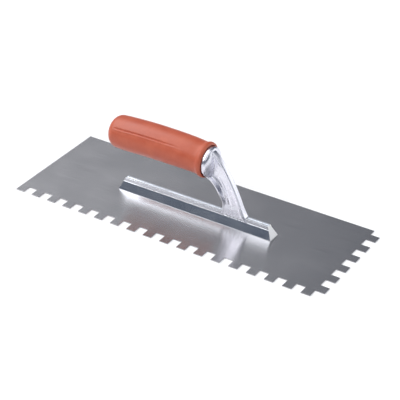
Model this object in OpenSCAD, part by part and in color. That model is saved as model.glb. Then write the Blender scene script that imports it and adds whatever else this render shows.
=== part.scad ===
// Notched adhesive trowel: square-notched steel blade, extruded mounting bar,
// cast bracket with a collar and tang, and a soft grip on a hard core.
// Millimetres, +Z up. Origin: centre of the blade's underside.
// +X runs along the blade towards the notched short edge, -Y is the notched long edge.

/* [Blade] */
// Length of the blade
blade_l = 360; // [320:20:420]
// Width of the blade
blade_w = 128; // [118:2:138]
// Thickness of the steel sheet
blade_t = 0.7; // [0.5:0.1:1.2]
// Side of a square notch, also the width of a tooth
notch = 10; // [6:1:12]

/* [Mounting bar] */
// Length of the bar along its foot
bar_l = 183; // [150:1:220]
// Offset of the bar's middle from the blade's middle
bar_x = 1.5; // [-5:0.5:5]
// Width of the bar's foot
bar_w = 14; // [12:0.5:20]
// Height of the bar
bar_h = 13; // [11:0.5:16]
// Width of the rail along the bar's top
rail_w = 6.4; // [5:0.2:8]
// Height at which the sloping flanks meet the rail
rail_z = 9.2; // [7:0.1:10]
// Run of the sloping saw cut at each end
end_run = 6; // [0:0.5:8]

/* [Blade rivets] */
// Number of flush rivets through the blade
rivet_count = 6; // [4:1:8]
// Diameter of a rivet
rivet_d = 4; // [3:0.5:5]
// Distance between rivets
rivet_pitch = 30; // [20:1:32]

/* [Bracket] */
// Width of the post's thick rib
rib_w = 7; // [6:0.5:10]
// Width of the recessed face between the rib's borders
web_w = 5.8; // [4:0.2:6]
// Width of the finger flange where it leaves the collar
flange_w = 15; // [12:0.5:18]
// Thickness of the finger flange
flange_t = 2.2; // [1.5:0.1:3]
// Width of the foot that grips the rail
foot_w = 8.6; // [8:0.2:12]
// Number of stake marks along each side of the foot
stake_count = 6; // [3:1:8]
// Radius of the round collar
collar_r = 15.5; // [14:0.5:16]

/* [Handle] */
// Height of the collar's and tang's axis above the blade's underside
axis_z = 64.7; // [60:0.1:75]
// Rise of the grip's back above that axis, for the palm
palm_rise = 2.8; // [0:0.1:3]
// Length of the grip
grip_l = 115; // [113:1:120]
// Position along X of the grip's open rim
rim_x = 18; // [16:1:20]
// Largest radius of the grip's body
grip_r = 17.7; // [17.5:0.1:18.6]
// Radius of the flared rim
rim_r = 18.3; // [18:0.1:20]
// Rounding radius of the closed end
end_r = 9; // [8:0.5:9.5]
// Outer radius of the hard core
core_r = 12; // [10:0.5:12.5]
// Radius of the tang
tang_r = 6; // [5:0.5:7]

/* [Hidden] */
fine = 64;
over = 1;                                   // overshoot of a cut past a face
pitch = 2 * notch;                          // from one notch to the next
grip_x = rim_x - grip_l;                    // closed end of the grip
bar_z = blade_t;                            // the bar stands on the blade
bar_top = bar_z + bar_h;
bar_edge = 0.8;                             // square edge under the sloping flank
rail_lean = 0.5;                            // each side of the rail leans in by this
rail_chamfer = 0.8;
slot_w = 1.4;                               // extrusion groove along the rail
slot_d = 0.7;
rivet_depth = 4;                            // reach of a rivet into the bar
foot_z = bar_z + 10;                        // underside of the bracket's foot
foot_rise = 16;                             // height over which the foot narrows to the rib
border = 3;                                 // width of the rib's raised outer border
inwards = [0.72, 0.6];                      // way from the outer line into the post
outwards = [0.72, 0.72];                    // way from the finger line into the post
collar_in = 12.5;                           // back face of the collar, inside the rim
collar_side = 21;                           // end of the collar's straight side
collar_nose = 26;                           // tip of the collar's dome
tang_end = -78;
core_end = -92;
screw_wall = 4;                             // wall of the core that the screw clamps
screw_r = 2.2;
screw_reach = 16;                           // thread length inside the tang
head_r = 4.2;
head_h = 3;
washer_r = 5.8;
washer_t = 1.2;
plug_r = 5.5;
plug_head = 3;                              // visible thickness of the plug
plug_stem_r = 4.5;
pocket_r = 6.5;                             // pocket in the core for washer, head and plug
rim_bore = 16.4;                            // bore of the rim around the collar
neck_end = 11;                              // end of the neck, start of the rim
rim_rise = 1;                               // rise of the rim above the collar's axis
neck_r = 17.2;
crease_deg = 39;                            // grip creases, up from the horizontal
crease_x = -64;                             // start of a crease
crease_l = 58;
crease_w = 1.2;
crease_d = 0.6;
disc_t = 0.2;                               // thickness of a section in the chain of hulls
end_rise = 0.45;                            // the closed end's share of the palm's rise
end_step = 0.6;                             // the closed end is slimmer than the body by this

// Point on a cubic curve with four control points
function cubic(p, t) = pow(1 - t, 3) * p[0] + 3 * t * pow(1 - t, 2) * p[1]
                     + 3 * t * t * (1 - t) * p[2] + t * t * t * p[3];
function curve(p, steps) = [for (i = [0 : steps]) cubic(p, i / steps)];
function flip(list) = [for (i = [len(list) - 1 : -1 : 0]) list[i]];

// Side view of the post, as [x, z]: convex outer line and concave finger line
outer_top = [[20, axis_z + collar_r - 1], [32, 76], [45, 52], [53.5, 31]];
outer_low = [[53.5, 31], [57, 22.5], [59.5, 13.5], [64.5, foot_z]];
finger_top = [[16, 50.2], [25, 49.5], [33.5, 38], [35.2, 26]];
finger_low = [[35.2, 26], [35.4, 20], [34.5, 14], [32, foot_z]];
outer_line = concat(curve(outer_top, 20), curve(outer_low, 10));
finger_line = concat(curve(finger_top, 16), curve(finger_low, 8));
collar_core = [[rim_x - 3, axis_z]];        // keeps the post's root inside the collar

// Extrudes a side-view shape evenly to both sides of the middle plane
module side_plate(width) {
    rotate([90, 0, 0])
        linear_extrude(height = width, center = true)
            children();
}

// Turns a profile of [distance along X, radius] about the handle's axis
module turned(points) {
    translate([0, 0, axis_z])
        rotate([0, 90, 0])
            rotate_extrude($fn = fine)
                polygon([for (p = points) [p[1], p[0]]]);
}

// Cylinder along X on the handle's axis
module axis_rod(x0, x1, r, sides = fine) {
    translate([x0, 0, axis_z])
        rotate([0, 90, 0])
            cylinder(h = x1 - x0, r = r, $fn = sides);
}

module blade_outline() {
    front_notches = floor(blade_l / pitch);
    side_notches = ceil(blade_w / pitch);
    difference() {
        translate([-blade_l / 2, -blade_w / 2])
            square([blade_l, blade_w]);
        for (i = [0 : front_notches - 1])
            translate([-blade_l / 2 + notch + i * pitch, -blade_w / 2 - over])
                square([notch + (i == front_notches - 1 ? over : 0), notch + over]);
        for (i = [1 : side_notches - 1])
            translate([blade_l / 2 - notch, -blade_w / 2 + i * pitch])
                square([notch + over, notch]);
    }
}

module rivet_places() {
    for (i = [0 : rivet_count - 1])
        translate([bar_x + (i - (rivet_count - 1) / 2) * rivet_pitch, 0, 0])
            children();
}

module blade() {
    color("#8f9094")
        difference() {
            linear_extrude(height = blade_t)
                blade_outline();
            rivet_places()
                translate([0, 0, -over])
                    cylinder(h = blade_t + 2 * over, d = rivet_d, $fn = fine);
        }
}

// Outline of the rail on top of the bar, as seen from its end
function rail_points() = [
    [-rail_w / 2, rail_z],
    [rail_w / 2, rail_z],
    [rail_w / 2 - rail_lean, bar_h - rail_chamfer],
    [rail_w / 2 - rail_lean - rail_chamfer, bar_h],
    [-rail_w / 2 + rail_lean + rail_chamfer, bar_h],
    [-rail_w / 2 + rail_lean, bar_h - rail_chamfer]
];

module bar_profile() {
    difference() {
        union() {
            polygon([
                [-bar_w / 2, 0], [bar_w / 2, 0], [bar_w / 2, bar_edge],
                [rail_w / 2, rail_z], [-rail_w / 2, rail_z], [-bar_w / 2, bar_edge]
            ]);
            polygon(rail_points());
        }
        translate([-slot_w / 2, bar_h - slot_d])
            square([slot_w, slot_d + over]);
    }
}

// Runs an end-view profile along X, standing on the blade
module along_bar(length) {
    translate([-length / 2, 0, bar_z])
        rotate([90, 0, 90])
            linear_extrude(height = length)
                children();
}

module mounting_bar() {
    half = bar_l / 2;
    color("#b9bec6")
        difference() {
            translate([bar_x, 0, 0])
                intersection() {
                    along_bar(bar_l)
                        bar_profile();
                    side_plate(bar_w + 2)
                        polygon([[-half, bar_z], [half, bar_z],
                                 [half - end_run, bar_top], [-half + end_run, bar_top]]);
                }
            rivet_places()
                cylinder(h = bar_z + rivet_depth, d = rivet_d, $fn = fine);
        }
}

module blade_rivets() {
    color("#a9abb0")
        rivet_places()
            cylinder(h = bar_z + rivet_depth, d = rivet_d, $fn = fine);
}

// Foot of the post, widening downwards, with stake marks along its lower edge
module foot() {
    mark_w = 1.6;
    mark_h = 1.2;
    mark_d = 0.5;
    mark_x0 = 36;
    mark_pitch = 4;
    reach = 80;
    difference() {
        intersection() {
            side_plate(foot_w)
                polygon(concat(curve(outer_low, 10), flip(curve(finger_low, 8))));
            translate([0, 0, foot_z])
                rotate([90, 0, 90])
                    linear_extrude(height = reach)
                        polygon([[-foot_w / 2, 0], [foot_w / 2, 0],
                                 [rib_w / 2, foot_rise], [-rib_w / 2, foot_rise]]);
        }
        for (side = [-1, 1], i = [0 : stake_count - 1])
            translate([mark_x0 + i * mark_pitch, side * foot_w / 2, foot_z])
                cube([mark_w, 2 * mark_d, 2 * mark_h], center = true);
    }
}

// Finger flange: follows the finger line, widest at the collar, and dies into the foot
module finger_flange() {
    low = 20;
    low_y = web_w / 2 + 0.1;
    wide_z = 43;
    wide_y = flange_w / 2;
    top = 55;
    reach = 60;
    inner = concat(curve(finger_top, 16), [cubic(finger_low, 0.25), cubic(finger_low, 0.5)]);
    intersection() {
        side_plate(flange_w)
            polygon(concat(inner, [for (p = flip(inner)) p + flange_t * outwards]));
        rotate([90, 0, 90])
            linear_extrude(height = reach)
                polygon([[-low_y, low], [low_y, low], [wide_y, wide_z],
                         [wide_y, top], [-wide_y, top], [-wide_y, wide_z]]);
    }
}

module post() {
    rib = curve(outer_top, 20);
    side_plate(web_w)
        polygon(concat(outer_line, flip(finger_line), collar_core));
    side_plate(rib_w)
        polygon(concat(rib, flip([for (p = rib) p - border * inwards])));
    finger_flange();
    foot();
}

module bracket() {
    nose_steps = 10;
    nose = collar_nose - collar_side;
    color("#cfd1d8")
        difference() {
            union() {
                post();
                turned(concat(
                    [[collar_in, 0], [collar_in, collar_r]],
                    [for (i = [0 : nose_steps - 1]) [
                        collar_side + nose * sin(90 * i / nose_steps),
                        collar_r * cos(90 * i / nose_steps)]],
                    [[collar_nose, 0]]));
                axis_rod(tang_end, collar_in + 1, tang_r);
            }
            axis_rod(tang_end - over, tang_end + screw_reach, screw_r);
            along_bar(3 * bar_l)
                polygon(rail_points());
        }
}

// Round section of the grip, as a thin disc: position, radius, share of the palm's rise
module grip_disc(x, r, rise) {
    translate([0, 0, rise * palm_rise])
        axis_rod(x - disc_t, x, r, 48);
}

module grip_end() {
    end_body_r = grip_r - end_step;
    translate([0, 0, end_rise * palm_rise])
        turned(concat([[grip_x, 0]],
            [for (a = [0 : 15 : 90]) [grip_x + end_r * (1 - cos(a)), end_body_r - end_r * (1 - sin(a))]],
            [[grip_x + end_r, 0]]));
}

// The body is a chain of hulls over its sections: the back is arched, the belly nearly straight
module grip_body() {
    sections = [[-66, grip_r, 0.8], [-40, grip_r, 1], [-14, grip_r - 0.3, 1],
                [0, neck_r, 0.85], [neck_end, neck_r - 0.2, 0.4]];
    hull() {
        grip_end();
        grip_disc(sections[0][0], sections[0][1], sections[0][2]);
    }
    for (i = [1 : len(sections) - 1])
        hull() {
            grip_disc(sections[i - 1][0], sections[i - 1][1], sections[i - 1][2]);
            grip_disc(sections[i][0], sections[i][1], sections[i][2]);
        }
    grip_rim();
}

// Flared rim round the collar, with a rounded lip
module grip_rim() {
    flare = 0.5;
    lip = 0.9;
    foot_x = neck_end - 1;
    translate([0, 0, rim_rise])
        turned([[foot_x, 0], [foot_x, neck_r - flare], [rim_x - 4, rim_r - flare],
                [rim_x - 2, rim_r], [rim_x - lip, rim_r - lip / 4], [rim_x, rim_r - lip], [rim_x, 0]]);
}

module grip() {
    step_x = 12;                            // bottom of the rim's bore
    color("#c8604a")
        difference() {
            grip_body();
            axis_rod(grip_x - over, core_end + 1, plug_r);
            axis_rod(core_end, step_x + over, core_r);
            axis_rod(step_x, rim_x + over, rim_bore);
            for (turn = [-crease_deg, 180 + crease_deg])
                translate([crease_x, 0, axis_z + palm_rise])
                    rotate([turn, 0, 0])
                        translate([0, -grip_r - over, -crease_w / 2])
                            cube([crease_l, over + crease_d, crease_w]);
        }
}

module handle_core() {
    color("#3b3b3d")
        difference() {
            axis_rod(core_end, collar_in, core_r);
            axis_rod(tang_end, collar_in + over, tang_r);
            axis_rod(tang_end - screw_wall - over, tang_end + over, screw_r);
            axis_rod(core_end - over, tang_end - screw_wall, pocket_r);
        }
}

module screw_washer() {
    x = tang_end - screw_wall - washer_t;
    color("#9a9ca1")
        difference() {
            axis_rod(x, x + washer_t, washer_r);
            axis_rod(x - over, x + washer_t + over, screw_r);
        }
}

module tang_screw() {
    seat = tang_end - screw_wall - washer_t;
    recess_w = 4.6;                         // cross recess in the head
    recess_t = 1;
    recess_d = 1.2;
    color("#85878c")
        difference() {
            union() {
                axis_rod(seat, tang_end + screw_reach, screw_r);
                axis_rod(seat - head_h, seat, head_r);
            }
            for (turn = [0, 90])
                translate([seat - head_h, 0, axis_z])
                    rotate([turn, 0, 0])
                        cube([2 * recess_d, recess_t, recess_w], center = true);
        }
}

module end_plug() {
    seat = tang_end - screw_wall - washer_t - head_h;
    color("#b9543f")
        union() {
            axis_rod(grip_x, core_end, plug_r);
            axis_rod(core_end - 1, seat - 1, plug_stem_r);
        }
}

blade();
mounting_bar();
blade_rivets();
bracket();
handle_core();
grip();
tang_screw();
screw_washer();
end_plug();
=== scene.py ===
import math
import bmesh
import bpy
from mathutils import Matrix, Quaternion, Vector


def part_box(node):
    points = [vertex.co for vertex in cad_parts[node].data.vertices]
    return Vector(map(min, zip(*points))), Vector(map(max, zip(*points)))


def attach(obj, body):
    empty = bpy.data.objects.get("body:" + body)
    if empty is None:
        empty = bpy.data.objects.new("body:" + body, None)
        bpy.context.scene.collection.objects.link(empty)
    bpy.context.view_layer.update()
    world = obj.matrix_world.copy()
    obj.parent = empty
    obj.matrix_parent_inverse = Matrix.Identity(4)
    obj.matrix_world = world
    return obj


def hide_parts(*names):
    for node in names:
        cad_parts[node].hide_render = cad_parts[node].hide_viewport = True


# Notched adhesive trowel: spring steel blade, extruded bar, cast bracket and a soft grip.
# The sizes below are in millimetres; mm turns them into Blender's metres.
mm = 0.001
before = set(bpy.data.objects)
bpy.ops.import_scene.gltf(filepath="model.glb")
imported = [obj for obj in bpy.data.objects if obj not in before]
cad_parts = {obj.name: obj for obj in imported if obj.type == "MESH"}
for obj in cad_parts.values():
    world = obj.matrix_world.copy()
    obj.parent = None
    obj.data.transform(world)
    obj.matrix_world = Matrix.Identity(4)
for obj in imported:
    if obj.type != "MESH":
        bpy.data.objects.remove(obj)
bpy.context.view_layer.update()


def nodeBox(name):
    # lowest and highest corner of a CAD node, in millimetres
    low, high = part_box(name)
    return low / mm, high / mm


bladeLow, bladeHigh = nodeBox("blade")
barLow, barHigh = nodeBox("mounting_bar")
gripLow, gripHigh = nodeBox("grip")
plugLow, plugHigh = nodeBox("end_plug")
rivetLow, rivetHigh = nodeBox("blade_rivets")
bracketLow = nodeBox("bracket")[0]
axisZ = (plugLow.z + plugHigh.z) / 2      # the handle's axis


def hexColour(text):
    # sRGB hex to the linear colour that Blender mixes with
    parts = [int(text[i:i + 2], 16) / 255 for i in (1, 3, 5)]
    return [p / 12.92 if p <= 0.04045 else ((p + 0.055) / 1.055) ** 2.4 for p in parts] + [1]


def addNode(tree, kind, settings=None, inputs=None):
    # a value is set on its socket, and a socket is linked to it
    node = tree.nodes.new(kind)
    for name, value in (settings or {}).items():
        setattr(node, name, value)
    for name, value in (inputs or {}).items():
        if isinstance(value, bpy.types.NodeSocket):
            tree.links.new(value, node.inputs[name])
        else:
            node.inputs[name].default_value = value
    return node


def startMaterial(name):
    material = bpy.data.materials.new(name)
    material.use_nodes = True
    tree = material.node_tree
    tree.nodes.clear()
    return material, tree, addNode(tree, "ShaderNodeTexCoord").outputs["Object"]


def finishMaterial(tree, inputs):
    shader = addNode(tree, "ShaderNodeBsdfPrincipled", None, inputs)
    addNode(tree, "ShaderNodeOutputMaterial", None, {"Surface": shader.outputs["BSDF"]})
    return shader


def newObject(name, mesh):
    obj = bpy.data.objects.new(name, mesh)
    bpy.context.scene.collection.objects.link(obj)
    return obj


def meshObject(name, bm, materials=()):
    bmesh.ops.recalc_face_normals(bm, faces=bm.faces)
    mesh = bpy.data.meshes.new(name)
    bm.to_mesh(mesh)
    bm.free()
    for material in materials:
        mesh.materials.append(material)
    return newObject(name, mesh)


def freeze(obj):
    # the modifiers become plain mesh
    graph = bpy.context.evaluated_depsgraph_get()
    mesh = bpy.data.meshes.new_from_object(obj.evaluated_get(graph))
    obj.modifiers.clear()
    obj.data = mesh
    mesh.name = obj.name
    return obj


def softEdges(obj, width, angle, segments=2):
    bevel = obj.modifiers.new("softEdges", "BEVEL")
    bevel.width = width * mm
    bevel.segments = segments
    bevel.limit_method = "ANGLE"
    bevel.angle_limit = math.radians(angle)
    return freeze(obj)


def combine(obj, other, operation):
    # adds another closed mesh to this one, or cuts it away
    cut = obj.modifiers.new("combine", "BOOLEAN")
    cut.operation = operation
    cut.solver = "MANIFOLD"
    cut.object = other
    freeze(obj)
    bpy.data.objects.remove(other)
    return obj


def dropSlivers(obj):
    # cuts and bevels can leave edges with no length, so they are closed up
    bm = bmesh.new()
    bm.from_mesh(obj.data)
    bmesh.ops.remove_doubles(bm, verts=bm.verts, dist=0.01 * mm)
    bmesh.ops.dissolve_degenerate(bm, edges=bm.edges, dist=0.01 * mm)
    bm.to_mesh(obj.data)
    bm.free()


def smoothShade(obj, angle, keepFlat=False):
    for face in obj.data.polygons:
        face.use_smooth = True
    obj.data.set_sharp_from_angle(angle=math.radians(angle))
    if keepFlat:                        # wide faces stay flat up to their rounded edges
        weigh = obj.modifiers.new("keepFlat", "WEIGHTED_NORMAL")
        weigh.mode = "FACE_AREA"
        weigh.weight = 100
        weigh.keep_sharp = True
        freeze(obj)
    return obj


def settle(obj, slotName, *nodes):
    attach(obj, "root")
    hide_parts(*nodes)


def lerp(a, b, t):
    return a + (b - a) * t


def easeStep(a, b, x):
    # 0 before a, 1 after b, smooth between them
    t = min(1, max(0, (x - a) / (b - a)))
    return t * t * (3 - 2 * t)


def cubicPoint(p, t):
    # point on a cubic curve with four control points
    weights = ((1 - t) ** 3, 3 * t * (1 - t) ** 2, 3 * t * t * (1 - t), t ** 3)
    return Vector([sum(w * q[axis] for w, q in zip(weights, p)) for axis in (0, 1)])


def smoothTable(stations, x):
    # smooth curve through (x, value, value...) rows, by Catmull-Rom pieces
    k = 1
    while k < len(stations) - 1 and x > stations[k][0]:
        k += 1
    a, b = stations[k - 1], stations[k]
    before = stations[max(k - 2, 0)]
    after = stations[min(k + 1, len(stations) - 1)]
    t = (x - a[0]) / (b[0] - a[0])
    span = b[0] - a[0]
    values = []
    for i in range(1, len(a)):
        m0 = (b[i] - before[i]) / (b[0] - before[0]) * span
        m1 = (after[i] - a[i]) / (after[0] - a[0]) * span
        values.append((2 * t ** 3 - 3 * t * t + 1) * a[i] + (t ** 3 - 2 * t * t + t) * m0
                      + (3 * t * t - 2 * t ** 3) * b[i] + (t ** 3 - t * t) * m1)
    return values


def skin(bm, rows):
    # closed rows of vertices, joined one to the next
    for first, second in zip(rows, rows[1:]):
        for k in range(len(first)):
            n = (k + 1) % len(first)
            bm.faces.new((first[k], first[n], second[n], second[k]))


def loftRings(rings, sides, push=None, loop=False):
    # rings of (x, height of the centre, radius) along X, skinned one to the next
    bm = bmesh.new()
    rows = []
    for x, centre, radius in rings:
        row = []
        for k in range(sides):
            angle = 2 * math.pi * k / sides
            r = radius + (push(x, angle) if push else 0)
            row.append(bm.verts.new((x * mm, -r * math.cos(angle) * mm,
                                     (centre + r * math.sin(angle)) * mm)))
        rows.append(row)
    if loop:
        skin(bm, rows + rows[:1])
    else:
        skin(bm, rows)
        bm.faces.new(rows[0])
        bm.faces.new(rows[-1])
    return bm


def newTree(name, inputs):
    # a Geometry Nodes tree with named inputs
    tree = bpy.data.node_groups.new(name, "GeometryNodeTree")
    tree.interface.new_socket("Geometry", in_out="INPUT", socket_type="NodeSocketGeometry")
    for label, kind in inputs.items():
        tree.interface.new_socket(label, in_out="INPUT", socket_type="NodeSocket" + kind)
    tree.interface.new_socket("Geometry", in_out="OUTPUT", socket_type="NodeSocketGeometry")
    return tree, addNode(tree, "NodeGroupInput").outputs


def endTree(tree, geometry, material):
    real = addNode(tree, "GeometryNodeRealizeInstances", None, {"Geometry": geometry})
    painted = addNode(tree, "GeometryNodeSetMaterial", None,
                      {"Geometry": real.outputs["Geometry"], "Material": material})
    addNode(tree, "NodeGroupOutput", None, {"Geometry": painted.outputs["Geometry"]})


def growMesh(name, tree, values):
    # runs a tree once and keeps its result as a plain mesh
    obj = newObject(name, bpy.data.meshes.new(name))
    modifier = obj.modifiers.new(tree.name, "NODES")
    modifier.node_group = tree
    for item in tree.interface.items_tree:
        if item.in_out == "INPUT" and item.name in values:
            modifier[item.identifier] = values[item.name]
    return freeze(obj)


cameraSet = {
    "place": (703.18, -1039.26, 814.12),
    "target": (-6.69, 19.33, 0.7),
    "roll": -0.874,                     # degrees, the right side hangs a little lower
    "lens": 133.2,
    "sensor": 36,
    "nearest": 0.05,                    # metres
}


def makeCamera(s):
    data = bpy.data.cameras.new("camera")
    data.lens = s["lens"]
    data.sensor_width = s["sensor"]
    data.clip_start = s["nearest"]
    camera = newObject("camera", data)
    place, target = Vector(s["place"]), Vector(s["target"])
    camera.location = place * mm
    camera.rotation_mode = "QUATERNION"
    aim = (target - place).to_track_quat("-Z", "Y")
    camera.rotation_quaternion = aim @ Quaternion((0, 0, 1), math.radians(s["roll"]))
    bpy.context.scene.camera = camera


makeCamera(cameraSet)
print("camera set")


studio = {
    # each light, in degrees: direction round the tool (0 is the notched long edge, 90 the notched
    # short edge), height, roll, half its length and half its width, softness; then its strength
    "lights": {
        "long softbox": (290, 47, -27, 35, 15, 9, 4.4),
        "white sweep, back right": (137, 9, 0, 28, 12, 6, 1.35),
        "back wall": (213, 33, 0, 10, 6, 6, 0.25),
        "left wall": (246, 34, 0, 26, 20, 14, 0.36),
        "right wall": (100, 40, 0, 34, 14, 12, 0.5),
        "fill beside the camera": (34, 38, 0, 24, 13, 8, 1.0),
        "overhead, right": (90, 74, 0, 24, 24, 12, 1.2),
    },
    "room": 0.34,                       # the dim bluish room
    "roomColour": "#8f9bb0",
    "floorColour": "#f4f4f4",
    "floorRoughness": 0.9,
    "floorGlow": 0.12,                  # keeps the floor white under the tool
    "floorSize": 9.0,                   # metres
    "floorGap": 0.15,                   # between the floor and the blade, in millimetres
}


def makeWorld(s):
    world = bpy.data.worlds.new("studio")
    bpy.context.scene.world = world
    world.use_nodes = True
    tree = world.node_tree
    tree.nodes.clear()
    way = addNode(tree, "ShaderNodeTexCoord").outputs["Generated"]
    total = 0.0
    for around, height, roll, long, wide, soft, strength in s["lights"].values():
        # the light's own axes: forward to it, along it and across it
        aim = Matrix.Rotation(math.radians(around), 3, "Z")
        aim = aim @ Matrix.Rotation(math.radians(-height), 3, "X")
        aim = aim @ Matrix.Rotation(math.radians(-roll), 3, "Y")
        forward = aim @ Vector((0, -1, 0))
        along, across = aim @ Vector((1, 0, 0)), aim @ Vector((0, 0, 1))
        ahead = addNode(tree, "ShaderNodeVectorMath", {"operation": "DOT_PRODUCT"},
                        {0: way, 1: forward}).outputs["Value"]
        level = strength
        for axis, half in ((along, long), (across, wide)):
            aside = addNode(tree, "ShaderNodeVectorMath", {"operation": "DOT_PRODUCT"},
                            {0: way, 1: axis}).outputs["Value"]
            angle = addNode(tree, "ShaderNodeMath", {"operation": "ARCTAN2"}, {0: aside, 1: ahead})
            size = addNode(tree, "ShaderNodeMath", {"operation": "ABSOLUTE"}, {0: angle.outputs[0]})
            level = addNode(tree, "ShaderNodeMapRange", {"interpolation_type": "SMOOTHSTEP"}, {
                "Value": size.outputs["Value"], "From Min": math.radians(half + soft),
                "From Max": math.radians(half - soft), "To Min": 0.0,
                "To Max": level}).outputs["Result"]
        total = addNode(tree, "ShaderNodeMath", {"operation": "ADD"},
                        {0: total, 1: level}).outputs["Value"]
    lights = addNode(tree, "ShaderNodeBackground", None,
                     {"Color": (1, 1, 1, 1), "Strength": total})
    room = addNode(tree, "ShaderNodeBackground", None,
                   {"Color": hexColour(s["roomColour"]), "Strength": s["room"]})
    lit = addNode(tree, "ShaderNodeAddShader", None,
                  {0: lights.outputs[0], 1: room.outputs[0]})
    # the camera itself sees plain white behind the tool
    seen = addNode(tree, "ShaderNodeBackground", None,
                   {"Color": (1, 1, 1, 1), "Strength": 1.0})
    straight = addNode(tree, "ShaderNodeLightPath").outputs["Is Camera Ray"]
    mixed = addNode(tree, "ShaderNodeMixShader", None,
                    {0: straight, 1: lit.outputs[0], 2: seen.outputs[0]})
    addNode(tree, "ShaderNodeOutputWorld", None, {"Surface": mixed.outputs[0]})


def makeFloor(s):
    material, tree, place = startMaterial("painted studio floor")
    grain = addNode(tree, "ShaderNodeTexNoise", None, {"Vector": place, "Scale": 900.0})
    bump = addNode(tree, "ShaderNodeBump", None,
                   {"Height": grain.outputs["Fac"], "Strength": 0.02, "Distance": 0.0002})
    finishMaterial(tree, {"Base Color": hexColour(s["floorColour"]), "Roughness": s["floorRoughness"],
                          "Emission Color": (1, 1, 1, 1), "Emission Strength": s["floorGlow"],
                          "Normal": bump.outputs["Normal"]})
    bm = bmesh.new()
    bmesh.ops.create_grid(bm, x_segments=1, y_segments=1, size=s["floorSize"] / 2)
    floor = meshObject("floor", bm, [material])
    floor.location.z = (bladeLow.z - s["floorGap"]) * mm


bpy.context.scene.view_settings.view_transform = "Standard"
makeWorld(studio)
makeFloor(studio)
print("studio lit")


blade = {
    "notch": 10,
    "edgeRadius": 0.1,
    "rivetHole": 4.1,
    "rivetHoleSides": 32,
    "steel": "#b0afb1",
    "steelDark": "#9f9ea1",
    "roughness": 0.23,
    "anisotropy": 0.88,
    "brushWidth": 0.7,       # real grinding lines are 0.1 mm; drawn coarser so that they show
    "brushLength": 60,
}


def groundSpringSteel(s):
    # spring steel ground lengthwise: a satin grey that smears reflections across the grain
    material, tree, place = startMaterial("ground spring steel")
    stretch = addNode(tree, "ShaderNodeMapping", None, {"Vector": place, "Scale": (
        1 / (s["brushLength"] * mm), 1 / (s["brushWidth"] * mm), 1 / (s["brushWidth"] * mm))})
    lines = addNode(tree, "ShaderNodeTexNoise", None, {
        "Vector": stretch.outputs["Vector"], "Scale": 1.0, "Detail": 4.0, "Roughness": 0.65})
    handling = addNode(tree, "ShaderNodeTexNoise", None, {
        "Vector": place, "Scale": 22.0, "Detail": 3.0, "Roughness": 0.6})
    tone = addNode(tree, "ShaderNodeMapRange", None, {
        "Value": lines.outputs["Fac"], "From Min": 0.3, "From Max": 0.7})
    colour = addNode(tree, "ShaderNodeMix", {"data_type": "RGBA"}, {
        0: tone.outputs["Result"], 6: hexColour(s["steelDark"]), 7: hexColour(s["steel"])})
    wear = addNode(tree, "ShaderNodeMapRange", None, {
        "Value": handling.outputs["Fac"], "From Min": 0.3, "From Max": 0.7,
        "To Min": s["roughness"] - 0.02, "To Max": s["roughness"] + 0.03})
    bump = addNode(tree, "ShaderNodeBump", None, {
        "Height": lines.outputs["Fac"], "Strength": 0.05, "Distance": 0.00002})
    across = addNode(tree, "ShaderNodeCombineXYZ", None, {"X": 0.0, "Y": 1.0, "Z": 0.0})
    finishMaterial(tree, {
        "Base Color": colour.outputs[2], "Metallic": 1.0, "Roughness": wear.outputs["Result"],
        "Anisotropic": s["anisotropy"], "Tangent": across.outputs["Vector"],
        "Normal": bump.outputs["Normal"]})
    return material


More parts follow.
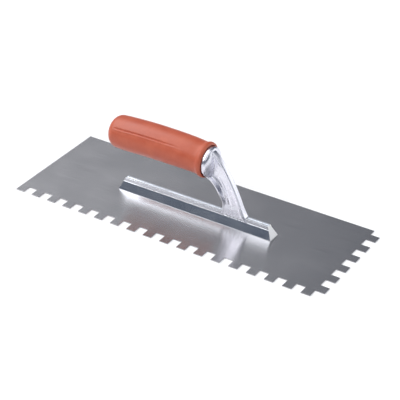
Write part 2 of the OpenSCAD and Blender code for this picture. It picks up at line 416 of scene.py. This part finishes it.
def makeBlade(s):
    # a sheet with rows of square notches and a row of rivet holes cut out of it
    tree, given = newTree("notchedSheet", {
        "Sheet": "Vector", "Sheet Middle": "Vector", "Corner": "Vector", "Corner Cut": "Vector",
        "Front Count": "Int", "Front Start": "Vector", "Front Step": "Vector", "Front Cut": "Vector",
        "Side Count": "Int", "Side Start": "Vector", "Side Step": "Vector", "Side Cut": "Vector",
        "Rivet Count": "Int", "Rivet Start": "Vector", "Rivet Step": "Vector",
        "Rivet Radius": "Float", "Rivet Reach": "Float"})

    def block(size, place):
        cube = addNode(tree, "GeometryNodeMeshCube", None, {"Size": given[size]})
        return addNode(tree, "GeometryNodeTransform", None, {
            "Geometry": cube.outputs["Mesh"], "Translation": given[place]}).outputs["Geometry"]

    def row(name, cutter):
        line = addNode(tree, "GeometryNodeMeshLine", {"mode": "OFFSET"}, {
            "Count": given[name + " Count"], "Start Location": given[name + " Start"],
            "Offset": given[name + " Step"]})
        return addNode(tree, "GeometryNodeInstanceOnPoints", None, {
            "Points": line.outputs["Mesh"], "Instance": cutter}).outputs["Instances"]

    frontCut = addNode(tree, "GeometryNodeMeshCube", None, {"Size": given["Front Cut"]})
    sideCut = addNode(tree, "GeometryNodeMeshCube", None, {"Size": given["Side Cut"]})
    drill = addNode(tree, "GeometryNodeMeshCylinder", None, {
        "Vertices": s["rivetHoleSides"], "Radius": given["Rivet Radius"],
        "Depth": given["Rivet Reach"]})
    cutters = addNode(tree, "GeometryNodeJoinGeometry")
    for piece in (row("Front", frontCut.outputs["Mesh"]), row("Side", sideCut.outputs["Mesh"]),
                  row("Rivet", drill.outputs["Mesh"]), block("Corner Cut", "Corner")):
        tree.links.new(piece, cutters.inputs["Geometry"])
    solid = addNode(tree, "GeometryNodeRealizeInstances", None,
                    {"Geometry": cutters.outputs["Geometry"]})
    cut = addNode(tree, "GeometryNodeMeshBoolean",
                  {"operation": "DIFFERENCE", "solver": "EXACT"},
                  {"Mesh 1": block("Sheet", "Sheet Middle"), "Mesh 2": solid.outputs["Geometry"]})
    endTree(tree, cut.outputs["Mesh"], groundSpringSteel(s))

    length, width, thick = bladeHigh - bladeLow
    left, right, front = bladeLow.x, bladeHigh.x, bladeLow.y
    notch, pitch, deep, middle = s["notch"], 2 * s["notch"], 4 * thick, thick / 2
    obj = growMesh("steelBlade", tree, {
        "Sheet": Vector((length, width, thick)) * mm, "Sheet Middle": Vector((0, 0, middle)) * mm,
        "Corner": Vector((right, front, middle)) * mm, "Corner Cut": Vector((pitch, pitch, deep)) * mm,
        "Front Count": int(length // pitch) - 1, "Front Step": Vector((pitch, 0, 0)) * mm,
        "Front Start": Vector((left + 1.5 * notch, front, middle)) * mm,
        "Front Cut": Vector((notch, pitch, deep)) * mm,
        "Side Count": math.ceil(width / pitch) - 1, "Side Step": Vector((0, pitch, 0)) * mm,
        "Side Start": Vector((right, front + 2.5 * notch, middle)) * mm,
        "Side Cut": Vector((pitch, notch, deep)) * mm,
        "Rivet Count": rivets["count"], "Rivet Step": Vector((rivetPitch(), 0, 0)) * mm,
        "Rivet Start": Vector((firstRivet(), 0, middle)) * mm,
        "Rivet Radius": s["rivetHole"] / 2 * mm, "Rivet Reach": deep * mm})
    softEdges(obj, s["edgeRadius"], 40)
    smoothShade(obj, 50, keepFlat=True)
    settle(obj, "blade_steel", "blade")


rivets = {
    "count": 6,
    "diameter": 4,
    "recess": 0.03,          # the ground heads sit just under the blade's face
    "rim": 0.94,             # width of the head's rim, as a share of the rivet
    "rimHeight": 0.1,
    "sides": 40,
    "metal": "#b9bbc0",
    "metalDark": "#9a9ca1",
    "roughness": 0.38,
}


def rivetPitch():
    # centre to centre, from the CAD group's own ends
    return (rivetHigh.x - rivetLow.x - rivets["diameter"]) / (rivets["count"] - 1)


def firstRivet():
    return rivetLow.x + rivets["diameter"] / 2


def groundRivetSteel(s):
    # soft steel rivets ground flush: round grinding swirls on each head
    material, tree, place = startMaterial("flush ground rivet steel")
    swirl = addNode(tree, "ShaderNodeTexNoise", None, {
        "Vector": place, "Scale": 2600.0, "Detail": 3.0})
    tone = addNode(tree, "ShaderNodeMix", {"data_type": "RGBA"}, {
        0: swirl.outputs["Fac"], 6: hexColour(s["metalDark"]), 7: hexColour(s["metal"])})
    bump = addNode(tree, "ShaderNodeBump", None, {
        "Height": swirl.outputs["Fac"], "Strength": 0.15, "Distance": 0.00003})
    finishMaterial(tree, {"Base Color": tone.outputs[2], "Metallic": 1.0,
                          "Roughness": s["roughness"], "Normal": bump.outputs["Normal"]})
    return material


def makeRivets(s):
    tree, given = newTree("rivetRow", {
        "Count": "Int", "Start": "Vector", "Step": "Vector", "Radius": "Float",
        "Height": "Float", "Head": "Float", "Rim": "Vector"})
    shank = addNode(tree, "GeometryNodeMeshCylinder", None, {
        "Vertices": s["sides"], "Side Segments": 2, "Fill Segments": 3,
        "Radius": given["Radius"], "Depth": given["Height"]})
    # the head's rim is a little narrower, where it was ground
    here = addNode(tree, "GeometryNodeInputPosition").outputs["Position"]
    level = addNode(tree, "ShaderNodeSeparateXYZ", None, {"Vector": here}).outputs["Z"]
    atHead = addNode(tree, "FunctionNodeCompare",
                     {"data_type": "FLOAT", "operation": "LESS_THAN"},
                     {"A": level, "B": given["Head"]})
    narrowed = addNode(tree, "ShaderNodeVectorMath", {"operation": "MULTIPLY"},
                       {0: here, 1: given["Rim"]})
    ground = addNode(tree, "GeometryNodeSetPosition", None, {
        "Geometry": shank.outputs["Mesh"], "Selection": atHead.outputs["Result"],
        "Position": narrowed.outputs["Vector"]})
    line = addNode(tree, "GeometryNodeMeshLine", {"mode": "OFFSET"}, {
        "Count": given["Count"], "Start Location": given["Start"], "Offset": given["Step"]})
    row = addNode(tree, "GeometryNodeInstanceOnPoints", None, {
        "Points": line.outputs["Mesh"], "Instance": ground.outputs["Geometry"]})
    endTree(tree, row.outputs["Instances"], groundRivetSteel(s))
    low = rivetLow.z + s["recess"]
    height = rivetHigh.z - low
    obj = growMesh("bladeRivets", tree, {
        "Count": s["count"], "Start": Vector((firstRivet(), 0, low + height / 2)) * mm,
        "Step": Vector((rivetPitch(), 0, 0)) * mm, "Radius": s["diameter"] / 2 * mm,
        "Height": height * mm, "Head": (s["rimHeight"] - height / 2) * mm,
        "Rim": (s["rim"], s["rim"], 1)})
    smoothShade(obj, 30)
    settle(obj, "rivet_steel", "blade_rivets")


makeBlade(blade)
makeRivets(rivets)
print("blade and rivets made")


bar = {
    "edge": 0.4,             # square edge under the sloping flank
    "railWidth": 6.4,
    "railFoot": 9.2,         # height where flank and rail meet
    "ledge": 0.22,           # narrow ledge there
    "ledgeDrop": 0.1,
    "railLean": 0.5,
    "railChamfer": 0.1,      # nearly sharp, so that it catches only a thin line of light
    "grooveWidth": 1.4,
    "grooveDepth": 0.7,
    "grooveTaper": 0.8,      # width of the groove's floor, as a share of its mouth
    "endRun": 6,             # how far the saw cut leans in
    "edgeRadius": 0.12,
    "metal": "#f0f2f6",
    "metalDark": "#dcdfe5",
    "roughness": 0.17,
    "sawn": "#f1f1f0",
    "sawnDark": "#d9dadd",
    "sawnRoughness": 0.42,
    "dieLineWidth": 0.6,     # real die lines are near 0.1 mm; drawn coarser so that they show
    "dieLineLength": 90,
}


def extrudedAluminium(s):
    # mill-finish extrusion: bright, with faint die lines running the length of the bar
    material, tree, place = startMaterial("extruded aluminium")
    stretch = addNode(tree, "ShaderNodeMapping", None, {
        "Vector": place, "Scale": (1 / (s["dieLineLength"] * mm), 1 / (s["dieLineWidth"] * mm),
                                   1 / (s["dieLineWidth"] * mm))})
    lines = addNode(tree, "ShaderNodeTexNoise", None, {
        "Vector": stretch.outputs["Vector"], "Scale": 1.0, "Detail": 3.0, "Roughness": 0.6})
    stain = addNode(tree, "ShaderNodeTexNoise", None, {
        "Vector": place, "Scale": 60.0, "Detail": 3.0, "Roughness": 0.6})
    tone = addNode(tree, "ShaderNodeMix", {"data_type": "RGBA"}, {
        0: lines.outputs["Fac"], 6: hexColour(s["metalDark"]), 7: hexColour(s["metal"])})
    rough = addNode(tree, "ShaderNodeMapRange", None, {
        "Value": stain.outputs["Fac"], "From Min": 0.3, "From Max": 0.7,
        "To Min": s["roughness"] - 0.02, "To Max": s["roughness"] + 0.03})
    bump = addNode(tree, "ShaderNodeBump", None, {
        "Height": lines.outputs["Fac"], "Strength": 0.12, "Distance": 0.00004})
    finishMaterial(tree, {"Base Color": tone.outputs[2], "Metallic": 1.0,
                          "Roughness": rough.outputs["Result"], "Normal": bump.outputs["Normal"]})
    return material


def sawnAluminium(s):
    # the saw leaves fine parallel marks on the end faces, which scatter light more
    material, tree, place = startMaterial("sawn aluminium")
    marks = addNode(tree, "ShaderNodeTexWave", {"wave_type": "BANDS", "bands_direction": "DIAGONAL"}, {
        "Vector": place, "Scale": 420.0, "Distortion": 1.2, "Detail": 2.0})
    tone = addNode(tree, "ShaderNodeMix", {"data_type": "RGBA"}, {
        0: marks.outputs["Fac"], 6: hexColour(s["sawnDark"]), 7: hexColour(s["sawn"])})
    bump = addNode(tree, "ShaderNodeBump", None, {
        "Height": marks.outputs["Fac"], "Strength": 0.3, "Distance": 0.00005})
    finishMaterial(tree, {"Base Color": tone.outputs[2], "Metallic": 1.0,
                          "Roughness": s["sawnRoughness"], "Normal": bump.outputs["Normal"]})
    return material


def barOutline(s):
    # half of the end view, as (distance from the middle, height above the blade)
    height = barHigh.z - barLow.z
    foot = (barHigh.y - barLow.y) / 2
    rail = s["railWidth"] / 2
    lean = rail - s["railLean"]
    groove = s["grooveWidth"] / 2
    return [(foot, 0), (foot, s["edge"]),
            (rail + s["ledge"], s["railFoot"] - s["ledgeDrop"]), (rail, s["railFoot"]),
            (lean, height - s["railChamfer"]), (lean - s["railChamfer"], height),
            (groove, height), (groove * s["grooveTaper"], height - s["grooveDepth"])]


def railOutline(s, gap, below):
    # the rail alone, a little fuller and reaching below its foot: the slot in the bracket's foot
    height = barHigh.z - barLow.z
    rail = s["railWidth"] / 2 + gap
    lean = rail - s["railLean"]
    half = [(rail, s["railFoot"] - below), (rail, s["railFoot"]),
            (lean, height - s["railChamfer"] + gap), (lean - s["railChamfer"], height + gap)]
    return [(y, z) for y, z in half] + [(-y, z) for y, z in reversed(half)]


def prism(outline, xLow, xHigh, run, height):
    # an end view carried along X; both ends lean in by run over the height
    bm = bmesh.new()
    ends = []
    for x, side in ((xLow, 1), (xHigh, -1)):
        ends.append([bm.verts.new(((x + side * run * z / height) * mm, y * mm,
                                   (barLow.z + z) * mm)) for y, z in outline])
    skin(bm, ends)
    bm.faces.new(ends[0])
    bm.faces.new(ends[1])
    return bm


def makeBar(s):
    half = barOutline(s)
    outline = half + [(-y, z) for y, z in reversed(half)]
    bm = prism(outline, barLow.x, barHigh.x, s["endRun"], barHigh.z - barLow.z)
    bm.faces.ensure_lookup_table()
    for face in bm.faces[-2:]:
        face.material_index = 1
    obj = meshObject("extrudedBar", bm, [extrudedAluminium(s), sawnAluminium(s)])
    softEdges(obj, s["edgeRadius"], 20, 3)
    dropSlivers(obj)
    smoothShade(obj, 50, keepFlat=True)
    settle(obj, "bar_aluminium", "mounting_bar")


makeBar(bar)
print("bar made")


bracket = {
    # side view of the post, (x, z): outer line from the collar to the toe, and finger line
    "outerTop": [(20, 79.2), (32, 76), (45, 52), (53.5, 31)],
    "outerLow": [(53.5, 31), (57, 22.5), (59.5, 13.5), (65.2, 9.4)],
    "fingerTop": [(16, 50.2), (25, 49.5), (33.5, 38), (35.2, 26)],
    "fingerLow": [(35.2, 26), (35.4, 20), (34.5, 14), (32, 10.7)],
    "flange": 7.4,           # half width of the finger flange at the collar
    "flangeThick": 2.0,
    "flangeSpan": (20, 44),  # heights over which it spreads out of the foot
    "web": 2.8,              # half thickness of the recessed face
    "webSpan": (19, 25),     # heights over which the foot thins into it
    "rib": 3.5,              # half width of the outer border
    "ribDepth": 3.2,
    "foot": 4.2,             # half width of the foot
    "footSpan": (11, 27),
    "groove": 0.5,           # depth of the shallow line along the web
    "grooveAt": 0.40,        # its place, as a share of the post's depth
    "grooveSpan": (17, 24, 50, 56),
    "postSteps": (26, 76),   # sections along the lower and the upper part of the post
    "cornerSteps": 3,
    "voxel": 0.36,
    "smoothing": 6,
    "collarRadius": 15.5,
    "collarBack": 12.5,
    "collarSide": 21,
    "collarNose": 26,
    "collarEdge": 0.5,
    "domeSteps": 25,
    "collarSides": 96,
    "tangRadius": 6,
    "tangEdge": 0.6,
    "tangSides": 64,
    "screwRadius": 2.2,
    "screwReach": 16,
    "boreEdge": 0.4,
    "slotGap": 0.05,         # between the foot and the rail
    "cutPast": 5,            # the cutting shapes reach this far past the piece
    "gap": (33.6, 60.5),     # the foot stands clear of the bar's flank between heel and toe
    "gapTop": 11.4,          # above the bar's foot
    "markCount": 6,
    "markPitch": 4.3,
    "markFirst": 36.2,
    "markHeight": 12.15,
    "markRadius": 1.15,
    "markShape": (0.85, 2.0, 1.1),
    "metal": "#efeff6",
    "metalDark": "#d8d8e2",
    "roughness": 0.26,
}


def castAluminium(s):
    # die-cast and tumbled until bright: near-mirror highlights over a slightly wavy skin
    material, tree, place = startMaterial("tumbled die-cast aluminium")
    cloud = addNode(tree, "ShaderNodeTexNoise", None, {
        "Vector": place, "Scale": 160.0, "Detail": 4.0, "Roughness": 0.6})
    grain = addNode(tree, "ShaderNodeTexNoise", None, {
        "Vector": place, "Scale": 1400.0, "Detail": 2.0})
    tone = addNode(tree, "ShaderNodeMix", {"data_type": "RGBA"}, {
        0: cloud.outputs["Fac"], 6: hexColour(s["metalDark"]), 7: hexColour(s["metal"])})
    rough = addNode(tree, "ShaderNodeMapRange", None, {
        "Value": cloud.outputs["Fac"], "From Min": 0.3, "From Max": 0.7,
        "To Min": s["roughness"] - 0.05, "To Max": s["roughness"] + 0.08})
    ripple = addNode(tree, "ShaderNodeBump", None, {
        "Height": cloud.outputs["Fac"], "Strength": 0.35, "Distance": 0.0002})
    bump = addNode(tree, "ShaderNodeBump", None, {
        "Height": grain.outputs["Fac"], "Strength": 0.06, "Distance": 0.00004,
        "Normal": ripple.outputs["Normal"]})
    finishMaterial(tree, {"Base Color": tone.outputs[2], "Metallic": 1.0,
                          "Roughness": rough.outputs["Result"], "Normal": bump.outputs["Normal"]})
    return material


def roundedLine(corners, steps):
    # corners of (s, y, radius) become a line whose corners are short curves
    points = [Vector(corners[0][:2])]
    for before, here, after in zip(corners, corners[1:], corners[2:]):
        p = Vector(here[:2])
        back, on = Vector(before[:2]) - p, Vector(after[:2]) - p
        reach = min(here[2], 0.45 * back.length, 0.45 * on.length)
        a, b = p + back.normalized() * reach, p + on.normalized() * reach
        for k in range(steps + 1):
            t = k / steps
            points.append(a * (1 - t) ** 2 + p * 2 * t * (1 - t) + b * t * t)
    points.append(Vector(corners[-1][:2]))
    return points


def postSection(s, depth, z):
    # half of the post's cross-section: finger flange, recessed web, raised border
    atFoot = 1 - easeStep(*s["footSpan"], z)
    foot = lerp(s["rib"], s["foot"], atFoot)
    flange = lerp(foot, s["flange"], easeStep(*s["flangeSpan"], z))
    web = lerp(foot - 0.06, s["web"], easeStep(*s["webSpan"], z))
    start, full, fade, end = s["grooveSpan"]
    groove = s["groove"] * easeStep(start, full, z) * (1 - easeStep(fade, end, z))
    middle = s["grooveAt"] * depth
    inner = depth - lerp(s["ribDepth"], s["ribDepth"] * 1.3, atFoot)
    # each corner: depth from the finger line, distance from the middle plane, roundness
    return roundedLine([
        (0, 0, 0), (0, flange, 1.0), (s["flangeThick"], flange, 0.9),
        (s["flangeThick"] + 0.5, web, 1.6),
        (middle - 1.0, web, 0.4), (middle, web - groove, 0.4), (middle + 1.0, web, 0.4),
        (inner, web, 0.4), (inner + 0.5, foot, 0.6),
        (depth, foot, 2.0), (depth + 0.25, 0, 0)], s["cornerSteps"])


def makePost(s):
    # the section is carried up the post, from the foot's underside into the collar
    stations = []
    lowSteps, topSteps = s["postSteps"]
    for outer, finger, steps in ((s["outerLow"], s["fingerLow"], lowSteps),
                                 (s["outerTop"], s["fingerTop"], topSteps)):
        for k in range(steps + 1):
            t = 1 - k / steps
            stations.append((cubicPoint(finger, t), cubicPoint(outer, t)))
    bm = bmesh.new()
    rows = []
    for finger, outer in stations:
        along = outer - finger
        way = along.normalized()
        half = postSection(s, along.length, (finger.y + outer.y) / 2)
        loop = half + [Vector((p.x, -p.y)) for p in reversed(half[1:-1])]
        rows.append([bm.verts.new(((finger.x + way.x * p.x) * mm, -p.y * mm,
                                   (finger.y + way.y * p.x) * mm)) for p in loop])
    skin(bm, rows)
    bm.faces.new(rows[0])
    bm.faces.new(rows[-1])
    bmesh.ops.remove_doubles(bm, verts=bm.verts, dist=0.002 * mm)
    return meshObject("post", bm)


def makeCollar(s):
    # a short round band with a domed nose, which the post grows out of
    back, side, r, edge = s["collarBack"], s["collarSide"], s["collarRadius"], s["collarEdge"]
    rings = [(back, axisZ, r - edge), (back + edge, axisZ, r)]
    for k in range(s["domeSteps"]):
        a = math.pi / 2 * k / s["domeSteps"]
        rings.append((lerp(side, s["collarNose"], math.sin(a)), axisZ, r * math.cos(a)))
    return meshObject("collar", loftRings(rings, s["collarSides"]))


def makeTang(s):
    # the hidden rod that carries the handle, bored for the end screw
    end, root, r, bore = bracketLow.x, s["collarBack"] + 2, s["tangRadius"], s["screwRadius"]
    edge, mouth = s["tangEdge"], s["boreEdge"]
    rings = [(end + s["screwReach"], axisZ, bore), (end + mouth, axisZ, bore),
             (end, axisZ, bore + mouth), (end, axisZ, r - edge), (end + edge, axisZ, r),
             (root, axisZ, r)]
    return meshObject("tang", loftRings(rings, s["tangSides"]))


def stakeMarks(s, material):
    # a row of punch marks along each side of the foot, where it was staked to the rail
    tree, given = newTree("stakeMarks", {
        "Count": "Int", "Step": "Vector", "Front Start": "Vector", "Back Start": "Vector",
        "Radius": "Float", "Shape": "Vector"})
    punch = addNode(tree, "GeometryNodeMeshIcoSphere", None, {
        "Radius": given["Radius"], "Subdivisions": 2})
    joined = addNode(tree, "GeometryNodeJoinGeometry")
    for start in ("Front Start", "Back Start"):
        line = addNode(tree, "GeometryNodeMeshLine", {"mode": "OFFSET"}, {
            "Count": given["Count"], "Offset": given["Step"], "Start Location": given[start]})
        row = addNode(tree, "GeometryNodeInstanceOnPoints", None, {
            "Points": line.outputs["Mesh"], "Instance": punch.outputs["Mesh"],
            "Scale": given["Shape"]})
        tree.links.new(row.outputs["Instances"], joined.inputs["Geometry"])
    endTree(tree, joined.outputs["Geometry"], material)
    x, y, z = s["markFirst"], s["foot"], s["markHeight"]
    return growMesh("stakeMarks", tree, {
        "Count": s["markCount"], "Step": Vector((s["markPitch"], 0, 0)) * mm,
        "Front Start": Vector((x, -y, z)) * mm, "Back Start": Vector((x, y, z)) * mm,
        "Radius": s["markRadius"] * mm, "Shape": s["markShape"]})


def makeBracket(s):
    metal = castAluminium(s)
    obj = makePost(s)
    obj.name = "castBracket"
    combine(obj, makeCollar(s), "UNION")
    # one skin over post and collar, with every corner a little worn
    cast = obj.modifiers.new("castSkin", "REMESH")
    cast.mode = "VOXEL"
    cast.voxel_size = s["voxel"] * mm
    worn = obj.modifiers.new("tumbled", "SMOOTH")
    worn.factor = 0.5
    worn.iterations = s["smoothing"]
    freeze(obj)
    combine(obj, makeTang(s), "UNION")
    past = s["cutPast"]
    rail = railOutline(bar, s["slotGap"], 2)
    slot = meshObject("railSlot", prism(rail, barLow.x - past, barHigh.x + past, 0, 1))
    combine(obj, slot, "DIFFERENCE")
    heel, toe = s["gap"]
    wide, top = s["foot"] + past, s["gapTop"]
    under = [(-wide, 0), (wide, 0), (wide, top), (-wide, top)]
    combine(obj, meshObject("footGap", prism(under, heel, toe, 0, 1)), "DIFFERENCE")
    combine(obj, stakeMarks(s, metal), "DIFFERENCE")
    dropSlivers(obj)
    obj.data.materials.clear()
    obj.data.materials.append(metal)
    smoothShade(obj, 40)
    settle(obj, "cast_aluminium", "bracket")
    print("bracket has", len(obj.data.polygons), "faces")


makeBracket(bracket)
print("bracket made")


grip = {
    # (x, height of the centre, radius) along the body, closed end to rim
    "stations": [(-88, 66.0, 17.1), (-80, 66.25, 17.55), (-66, 66.85, 17.7), (-50, 67.35, 17.75),
                 (-35, 67.5, 17.65), (-20, 67.4, 17.55), (-8, 67.2, 17.35), (2, 66.8, 17.1),
                 (8, 66.3, 16.95), (11.2, 65.95, 17.1)],
    "steps": 100,
    "bodyRadius": 17.75,     # at its fullest
    "endRadius": 9,
    "endSteps": 12,
    "rim": 18.3,
    "rimCentre": 65.7,
    # (distance back from the lip, lift of the centre, how much slimmer) over the rim
    "rimShape": [(5.7, 0.1, 0.8), (4.6, 0, 0.25), (3.4, 0, 0), (2.2, 0, 0.02),
                 (1.3, -0.1, 0.3), (0.6, -0.3, 0.8)],
    "lip": (0.15, 0.3, 1.35),
    "bore": 16.4,
    "boreEdge": 0.25,
    "coreRadius": 12,
    "coreStep": 12,
    "plugHole": 5.55,
    "plugHoleEdge": 0.3,
    "wall": 5,               # rubber over the core's closed end
    "crease": 39,            # degrees up from the horizontal
    "creaseSpan": (-89, -84, -31, -3),
    "creaseWidth": 1.4,
    "creaseDepth": 0.8,
    "creaseLip": 0.25,       # the lower lip stands a little proud
    "creaseLipAt": 1.1,      # its middle, in widths of the crease below the crease
    "creaseLipPinch": 1.8,   # more makes it narrower
    "sides": 288,
    "rubber": "#ba5439",
    "rubberLight": "#c66245",
    "roughness": 0.38,
}


def softRubber(s):
    # moulded soft rubber: matt terracotta with a broad waxy sheen and a fine grain
    material, tree, place = startMaterial("moulded soft rubber")
    cloud = addNode(tree, "ShaderNodeTexNoise", None, {
        "Vector": place, "Scale": 70.0, "Detail": 5.0, "Roughness": 0.65})
    grain = addNode(tree, "ShaderNodeTexNoise", None, {
        "Vector": place, "Scale": 1800.0, "Detail": 2.0})
    spread = addNode(tree, "ShaderNodeMapRange", None, {
        "Value": cloud.outputs["Fac"], "From Min": 0.3, "From Max": 0.7})
    tone = addNode(tree, "ShaderNodeMix", {"data_type": "RGBA"}, {
        0: spread.outputs["Result"], 6: hexColour(s["rubber"]), 7: hexColour(s["rubberLight"])})
    rough = addNode(tree, "ShaderNodeMapRange", None, {
        "Value": cloud.outputs["Fac"], "From Min": 0.3, "From Max": 0.7,
        "To Min": s["roughness"] - 0.04, "To Max": s["roughness"] + 0.08})
    bump = addNode(tree, "ShaderNodeBump", None, {
        "Height": grain.outputs["Fac"], "Strength": 0.25, "Distance": 0.00006})
    finishMaterial(tree, {"Base Color": tone.outputs[2], "Roughness": rough.outputs["Result"],
                          "Normal": bump.outputs["Normal"]})
    return material


def gripCrease(x, angle):
    # the moulded crease along both sides: a groove with a raised lower lip
    s = grip
    start, full, fade, end = s["creaseSpan"]
    strength = easeStep(start, full, x) * (1 - easeStep(fade, end, x))
    if strength == 0 or angle > math.pi:
        return 0
    raised = min(angle, math.pi - angle)
    offset = (raised - math.radians(s["crease"])) * s["bodyRadius"]
    dip = s["creaseDepth"] * math.exp(-(2 * offset / s["creaseWidth"]) ** 2)
    away = (offset / s["creaseWidth"] + s["creaseLipAt"]) * s["creaseLipPinch"]
    return (s["creaseLip"] * math.exp(-away ** 2) - dip) * strength


def makeGrip(s):
    end, rim = gripLow.x, gripHigh.x
    centre, radius = s["stations"][0][1:]
    rings = []
    for k in range(s["endSteps"] + 1):               # round the closed end
        a = math.pi / 2 * k / s["endSteps"]
        rings.append((end + s["endRadius"] * (1 - math.cos(a)), centre,
                      radius - s["endRadius"] * (1 - math.sin(a))))
    for k in range(1, s["steps"] + 1):
        x = lerp(end + s["endRadius"], s["stations"][-1][0], k / s["steps"])
        rings.append((x, *smoothTable(s["stations"], x)))
    for back, lift, slim in s["rimShape"]:
        rings.append((rim - back, s["rimCentre"] + lift, s["rim"] - slim))
    back, lift, slim = s["lip"]
    rings.append((rim - back, axisZ + lift, s["rim"] - slim))
    # then inwards: round the collar, over the core's end and out through the plug's hole
    bore, hole, core, wall = s["bore"], s["plugHole"], s["coreRadius"], end + s["wall"]
    boreEdge, holeEdge = s["boreEdge"], s["plugHoleEdge"]
    for x, r in ((rim, bore + boreEdge), (rim - boreEdge, bore), (s["coreStep"], bore),
                 (s["coreStep"], core), (wall, core), (wall, hole),
                 (end + holeEdge, hole), (end, hole + holeEdge)):
        rings.append((x, axisZ, r))
    obj = meshObject("softGrip", loftRings(rings, s["sides"], gripCrease, loop=True),
                     [softRubber(s)])
    smoothShade(obj, 50)
    settle(obj, "grip_rubber", "grip")


makeGrip(grip)
print("grip made")


plug = {
    "headRadius": 5.4,
    "head": 2.6,             # depth of the visible head
    "dimple": 2.6,           # radius of the moulded hollow
    "dimpleDepth": 0.9,
    "stem": 4.5,
    "sides": 72,
    "colour": "#b5503a",
    "colourDark": "#a3452f",
    "roughness": 0.35,
}


def mouldedPlug(s):
    # hard moulded plug: the grip's colour with more shine and a faint mottle
    material, tree, place = startMaterial("moulded nylon plug")
    flow = addNode(tree, "ShaderNodeTexNoise", None, {
        "Vector": place, "Scale": 260.0, "Detail": 4.0})
    tone = addNode(tree, "ShaderNodeMix", {"data_type": "RGBA"}, {
        0: flow.outputs["Fac"], 6: hexColour(s["colourDark"]), 7: hexColour(s["colour"])})
    bump = addNode(tree, "ShaderNodeBump", None, {
        "Height": flow.outputs["Fac"], "Strength": 0.15, "Distance": 0.00005})
    finishMaterial(tree, {"Base Color": tone.outputs[2], "Roughness": s["roughness"],
                          "Normal": bump.outputs["Normal"]})
    return material


def makePlug(s):
    # from the hollow in the head, over its rounded rim, to the end of the stem
    x, tip = plugLow.x, plugHigh.x
    r, dimple, deep, stem = s["headRadius"], s["dimple"], s["dimpleDepth"], s["stem"]
    profile = [(x + deep, 0.05), (x + 0.95 * deep, 0.5 * dimple), (x + 0.5 * deep, 0.9 * dimple),
               (x + 0.12, dimple + 0.25), (x + 0.02, dimple + 0.6), (x + 0.02, r - 0.5),
               (x + 0.15, r - 0.15), (x + 0.5, r), (x + s["head"], r), (x + s["head"], stem),
               (tip - 0.6, stem), (tip, stem - 0.6)]
    rings = [(along, axisZ, radius) for along, radius in profile]
    obj = meshObject("endPlug", loftRings(rings, s["sides"]), [mouldedPlug(s)])
    smoothShade(obj, 35)
    settle(obj, "plug_plastic", "end_plug")


core = {
    "plastic": "#454548",
    "plasticDark": "#2c2c2e",
    "roughness": 0.6,
}


def hardPlastic(s):
    # glass-filled sleeve under the rubber: dull black with a fine fibre fleck
    material, tree, place = startMaterial("glass-filled polypropylene")
    fleck = addNode(tree, "ShaderNodeTexVoronoi", None, {"Vector": place, "Scale": 900.0})
    tone = addNode(tree, "ShaderNodeMix", {"data_type": "RGBA"}, {
        0: fleck.outputs["Distance"], 6: hexColour(s["plasticDark"]), 7: hexColour(s["plastic"])})
    bump = addNode(tree, "ShaderNodeBump", None, {
        "Height": fleck.outputs["Distance"], "Strength": 0.2, "Distance": 0.00005})
    finishMaterial(tree, {"Base Color": tone.outputs[2], "Roughness": s["roughness"],
                          "Normal": bump.outputs["Normal"]})
    return material


endScrew = {
    "zinc": "#cfd2d4",
    "zincDark": "#a9acb0",
    "roughness": 0.3,
}


def platedSteel(s):
    # bright zinc plate on the end screw and washer, slightly clouded
    material, tree, place = startMaterial("zinc-plated steel")
    cloud = addNode(tree, "ShaderNodeTexNoise", None, {
        "Vector": place, "Scale": 700.0, "Detail": 4.0})
    tone = addNode(tree, "ShaderNodeMix", {"data_type": "RGBA"}, {
        0: cloud.outputs["Fac"], 6: hexColour(s["zincDark"]), 7: hexColour(s["zinc"])})
    bump = addNode(tree, "ShaderNodeBump", None, {
        "Height": cloud.outputs["Fac"], "Strength": 0.1, "Distance": 0.00003})
    finishMaterial(tree, {"Base Color": tone.outputs[2], "Metallic": 1.0,
                          "Roughness": s["roughness"], "Normal": bump.outputs["Normal"]})
    return material


def dressNode(name, material):
    # a hidden CAD piece keeps its own mesh and gets the real finish
    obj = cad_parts[name]
    obj.data.materials.clear()
    obj.data.materials.append(material)


makePlug(plug)
zinc = platedSteel(endScrew)
dressNode("handle_core", hardPlastic(core))
dressNode("tang_screw", zinc)
dressNode("screw_washer", zinc)
print("plug made, hidden pieces dressed")
